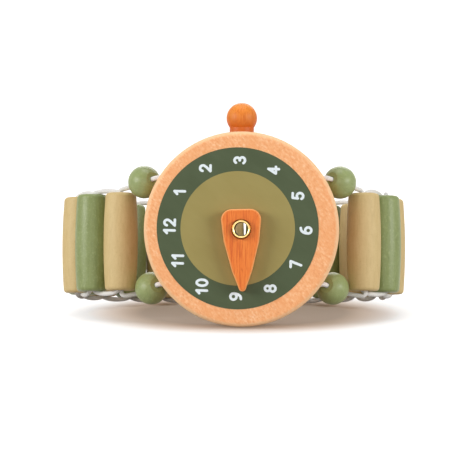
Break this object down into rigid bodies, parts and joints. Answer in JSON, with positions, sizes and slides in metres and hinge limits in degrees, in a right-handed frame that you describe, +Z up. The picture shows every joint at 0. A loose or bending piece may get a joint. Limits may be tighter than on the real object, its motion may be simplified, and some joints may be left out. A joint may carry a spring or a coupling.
{
  "type": "toy watch",
  "caption": "Wooden toy watch: round case with printed dial, turning hand on a hollow rivet, ball crown, and a strap of wooden rods strung on elastic cord.",
  "frame": {"origin": "on the floor, below the middle of the standing watch's bounding box", "axes": "+X along the dial from the 12 to the 6, +Y from the dial to the back of the strap, +Z up towards the crown"},
  "size_m": [0.0736, 0.0532, 0.046],
  "materials": {
    "case_wood": "sanded, clear matt oil",
    "ring_print": "matt printed colour",
    "centre_print": "matt printed colour",
    "crown_wood": "satin orange stain",
    "hand_wood": "satin orange stain",
    "rivet_brass": "polished",
    "bead_paint": "satin green paint",
    "rod_cream": "satin cream paint",
    "rod_green": "satin green paint",
    "elastic_white": "woven elastic cord"
  },
  "bodies": {
    "watch_case": {"case": "case_wood", "dial_ring": "ring_print", "dial_centre": "centre_print", "crown": "crown_wood", "rivet": "rivet_brass", "elastic_case_upper": "elastic_white", "elastic_case_lower": "elastic_white"},
    "hand": {"hand": "hand_wood"},
    "ball_bead_upper_left": {"ball_bead_upper_left": "bead_paint"},
    "ball_bead_lower_left": {"ball_bead_lower_left": "bead_paint"},
    "ball_bead_upper_right": {"ball_bead_upper_right": "bead_paint"},
    "ball_bead_lower_right": {"ball_bead_lower_right": "bead_paint"},
    "elastic_01": {"elastic_01": "elastic_white"},
    "rod_01": {"rod_01": "rod_cream"},
    "elastic_02": {"elastic_02": "elastic_white"},
    "rod_02": {"rod_02": "rod_green"},
    "elastic_03": {"elastic_03": "elastic_white"},
    "rod_03": {"rod_03": "rod_cream"},
    "elastic_04": {"elastic_04": "elastic_white"},
    "rod_04": {"rod_04": "rod_green"},
    "elastic_05": {"elastic_05": "elastic_white"},
    "rod_05": {"rod_05": "rod_cream"},
    "elastic_06": {"elastic_06": "elastic_white"},
    "rod_06": {"rod_06": "rod_green"},
    "elastic_07": {"elastic_07": "elastic_white"},
    "rod_07": {"rod_07": "rod_cream"},
    "elastic_08": {"elastic_08": "elastic_white"},
    "rod_08": {"rod_08": "rod_green"},
    "elastic_09": {"elastic_09": "elastic_white"},
    "rod_09": {"rod_09": "rod_cream"},
    "elastic_10": {"elastic_10": "elastic_white"},
    "rod_10": {"rod_10": "rod_green"},
    "elastic_11": {"elastic_11": "elastic_white"},
    "rod_11": {"rod_11": "rod_cream"},
    "elastic_12": {"elastic_12": "elastic_white"},
    "rod_12": {"rod_12": "rod_green"},
    "elastic_13": {"elastic_13": "elastic_white"},
    "rod_13": {"rod_13": "rod_cream"},
    "elastic_14": {"elastic_14": "elastic_white"},
    "rod_14": {"rod_14": "rod_green"},
    "elastic_15": {"elastic_15": "elastic_white"},
    "rod_15": {"rod_15": "rod_cream"},
    "elastic_16": {"elastic_16": "elastic_white"},
    "rod_16": {"rod_16": "rod_green"},
    "elastic_17": {"elastic_17": "elastic_white"},
    "rod_17": {"rod_17": "rod_cream"}
  },
  "joints": [
    {"name": "hand_turn", "type": "hinge", "parent": "watch_case", "child": "hand", "pos_m": [0.00189, -0.02608, 0.02073], "axis": [0, -0.9963, 0.0862], "continuous": true},
    {"name": "ball_bead_upper_left_spin", "type": "hinge", "parent": "watch_case", "child": "ball_bead_upper_left", "pos_m": [-0.01846, -0.01267, 0.02935], "axis": [-0.6017, 0.7547, -0.2615], "continuous": true},
    {"name": "ball_bead_lower_left_spin", "type": "hinge", "parent": "watch_case", "child": "ball_bead_lower_left", "pos_m": [-0.01698, -0.01457, 0.00732], "axis": [-0.4312, 0.8433, -0.3207], "continuous": true},
    {"name": "ball_bead_upper_right_spin", "type": "hinge", "parent": "watch_case", "child": "ball_bead_upper_right", "pos_m": [0.02226, -0.01267, 0.02932], "axis": [0.6028, 0.752, -0.2666], "continuous": true},
    {"name": "ball_bead_lower_right_spin", "type": "hinge", "parent": "watch_case", "child": "ball_bead_lower_right", "pos_m": [0.02078, -0.01457, 0.00735], "axis": [0.4354, 0.8437, -0.314], "continuous": true},
    {"name": "strap_stretch", "type": "slide", "parent": "watch_case", "child": "elastic_01", "axis": [-0.9503, 0.307, -0.0511], "range_m": [0, 0.00537], "stiffness_N_per_m": 150, "springref_m": -0.003},
    {"name": "strap_stretch_02", "type": "slide", "parent": "elastic_01", "child": "elastic_02", "axis": [-0.8478, 0.5232, -0.087], "range_m": [0, 0.00148]},
    {"name": "strap_stretch_03", "type": "slide", "parent": "elastic_02", "child": "elastic_03", "axis": [-0.4476, 0.8821, -0.1467], "range_m": [0, 0.00148]},
    {"name": "strap_stretch_04", "type": "slide", "parent": "elastic_03", "child": "elastic_04", "axis": [0.0517, 0.9851, -0.1639], "range_m": [0, 0.00148]},
    {"name": "strap_stretch_05", "type": "slide", "parent": "elastic_04", "child": "elastic_05", "axis": [0.4935, 0.858, -0.1427], "range_m": [0, 0.00148]},
    {"name": "strap_stretch_06", "type": "slide", "parent": "elastic_05", "child": "elastic_06", "axis": [0.7901, 0.6047, -0.1006], "range_m": [0, 0.00148]},
    {"name": "strap_stretch_07", "type": "slide", "parent": "elastic_06", "child": "elastic_07", "axis": [0.9395, 0.3379, -0.0562], "range_m": [0, 0.00148]},
    {"name": "strap_stretch_08", "type": "slide", "parent": "elastic_07", "child": "elastic_08", "axis": [0.9908, 0.1337, -0.0222], "range_m": [0, 0.00148]},
    {"name": "strap_stretch_09", "type": "slide", "parent": "elastic_08", "child": "elastic_09", "axis": [0.9996, 0.0267, -0.0044], "range_m": [0, 0.00148]},
    {"name": "strap_stretch_17", "type": "slide", "parent": "watch_case", "child": "elastic_17", "axis": [0.9503, 0.307, -0.0511], "range_m": [0, 0.00537]},
    {"name": "strap_stretch_16", "type": "slide", "parent": "elastic_17", "child": "elastic_16", "axis": [0.6079, 0.7833, -0.1303], "range_m": [0, 0.00148]},
    {"name": "strap_stretch_15", "type": "slide", "parent": "elastic_16", "child": "elastic_15", "axis": [0.1755, 0.9711, -0.1616], "range_m": [0, 0.00148]},
    {"name": "strap_stretch_14", "type": "slide", "parent": "elastic_15", "child": "elastic_14", "axis": [-0.2695, 0.95, -0.158], "range_m": [0, 0.00148]},
    {"name": "strap_stretch_13", "type": "slide", "parent": "elastic_14", "child": "elastic_13", "axis": [-0.6266, 0.7688, -0.1279], "range_m": [0, 0.00148]},
    {"name": "strap_stretch_12", "type": "slide", "parent": "elastic_13", "child": "elastic_12", "axis": [-0.8527, 0.5154, -0.0857], "range_m": [0, 0.00148]},
    {"name": "strap_stretch_11", "type": "slide", "parent": "elastic_12", "child": "elastic_11", "axis": [-0.9612, 0.2722, -0.0453], "range_m": [0, 0.00148]},
    {"name": "strap_stretch_10", "type": "slide", "parent": "elastic_11", "child": "elastic_10", "axis": [-0.9956, 0.0921, -0.0153], "range_m": [0, 0.00148]},
    {"name": "rod_01_spin", "type": "hinge", "parent": "elastic_01", "child": "rod_01", "pos_m": [-0.02361, -0.01034, 0.01665], "axis": [0, 0.1641, 0.9864], "continuous": true},
    {"name": "rod_02_spin", "type": "hinge", "parent": "elastic_02", "child": "rod_02", "pos_m": [-0.02988, -0.00647, 0.01601], "axis": [0, 0.1641, 0.9864], "continuous": true},
    {"name": "rod_03_spin", "type": "hinge", "parent": "elastic_03", "child": "rod_03", "pos_m": [-0.03319, 0.00005, 0.01492], "axis": [0, 0.1641, 0.9864], "continuous": true},
    {"name": "rod_04_spin", "type": "hinge", "parent": "elastic_04", "child": "rod_04", "pos_m": [-0.03281, 0.00734, 0.01371], "axis": [0, 0.1641, 0.9864], "continuous": true},
    {"name": "rod_05_spin", "type": "hinge", "parent": "elastic_05", "child": "rod_05", "pos_m": [-0.02916, 0.01369, 0.01265], "axis": [0, 0.1641, 0.9864], "continuous": true},
    {"name": "rod_06_spin", "type": "hinge", "parent": "elastic_06", "child": "rod_06", "pos_m": [-0.02331, 0.01817, 0.01191], "axis": [0, 0.1641, 0.9864], "continuous": true},
    {"name": "rod_07_spin", "type": "hinge", "parent": "elastic_07", "child": "rod_07", "pos_m": [-0.01636, 0.02067, 0.01149], "axis": [0, 0.1641, 0.9864], "continuous": true},
    {"name": "rod_08_spin", "type": "hinge", "parent": "elastic_08", "child": "rod_08", "pos_m": [-0.00903, 0.02166, 0.01133], "axis": [0, 0.1641, 0.9864], "continuous": true},
    {"name": "rod_09_spin", "type": "hinge", "parent": "elastic_09", "child": "rod_09", "pos_m": [-0.00163, 0.02186, 0.01129], "axis": [0, 0.1641, 0.9864], "continuous": true},
    {"name": "rod_10_spin", "type": "hinge", "parent": "elastic_10", "child": "rod_10", "pos_m": [0.00577, 0.02187, 0.01129], "axis": [0, 0.1641, 0.9864], "continuous": true},
    {"name": "rod_11_spin", "type": "hinge", "parent": "elastic_11", "child": "rod_11", "pos_m": [0.01314, 0.02119, 0.01141], "axis": [0, 0.1641, 0.9864], "continuous": true},
    {"name": "rod_12_spin", "type": "hinge", "parent": "elastic_12", "child": "rod_12", "pos_m": [0.02025, 0.01917, 0.01174], "axis": [0, 0.1641, 0.9864], "continuous": true},
    {"name": "rod_13_spin", "type": "hinge", "parent": "elastic_13", "child": "rod_13", "pos_m": [0.02656, 0.01536, 0.01238], "axis": [0, 0.1641, 0.9864], "continuous": true},
    {"name": "rod_14_spin", "type": "hinge", "parent": "elastic_14", "child": "rod_14", "pos_m": [0.0312, 0.00967, 0.01332], "axis": [0, 0.1641, 0.9864], "continuous": true},
    {"name": "rod_15_spin", "type": "hinge", "parent": "elastic_15", "child": "rod_15", "pos_m": [0.03319, 0.00264, 0.01449], "axis": [0, 0.1641, 0.9864], "continuous": true},
    {"name": "rod_16_spin", "type": "hinge", "parent": "elastic_16", "child": "rod_16", "pos_m": [0.03189, -0.00455, 0.01569], "axis": [0, 0.1641, 0.9864], "continuous": true},
    {"name": "rod_17_spin", "type": "hinge", "parent": "elastic_17", "child": "rod_17", "pos_m": [0.02739, -0.01034, 0.01665], "axis": [0, 0.1641, 0.9864], "continuous": true}
  ],
  "couplings": [
    {"joint": "strap_stretch_02", "follows": "strap_stretch", "ratio": 0.27579},
    {"joint": "strap_stretch_03", "follows": "strap_stretch", "ratio": 0.27579},
    {"joint": "strap_stretch_04", "follows": "strap_stretch", "ratio": 0.27579},
    {"joint": "strap_stretch_05", "follows": "strap_stretch", "ratio": 0.27579},
    {"joint": "strap_stretch_06", "follows": "strap_stretch", "ratio": 0.27578},
    {"joint": "strap_stretch_07", "follows": "strap_stretch", "ratio": 0.27579},
    {"joint": "strap_stretch_08", "follows": "strap_stretch", "ratio": 0.27579},
    {"joint": "strap_stretch_09", "follows": "strap_stretch", "ratio": 0.27579},
    {"joint": "strap_stretch_17", "follows": "strap_stretch", "ratio": 1},
    {"joint": "strap_stretch_16", "follows": "strap_stretch", "ratio": 0.27578},
    {"joint": "strap_stretch_15", "follows": "strap_stretch", "ratio": 0.27579},
    {"joint": "strap_stretch_14", "follows": "strap_stretch", "ratio": 0.27579},
    {"joint": "strap_stretch_13", "follows": "strap_stretch", "ratio": 0.27578},
    {"joint": "strap_stretch_12", "follows": "strap_stretch", "ratio": 0.27579},
    {"joint": "strap_stretch_11", "follows": "strap_stretch", "ratio": 0.27579},
    {"joint": "strap_stretch_10", "follows": "strap_stretch", "ratio": 0.27578}
  ]
}
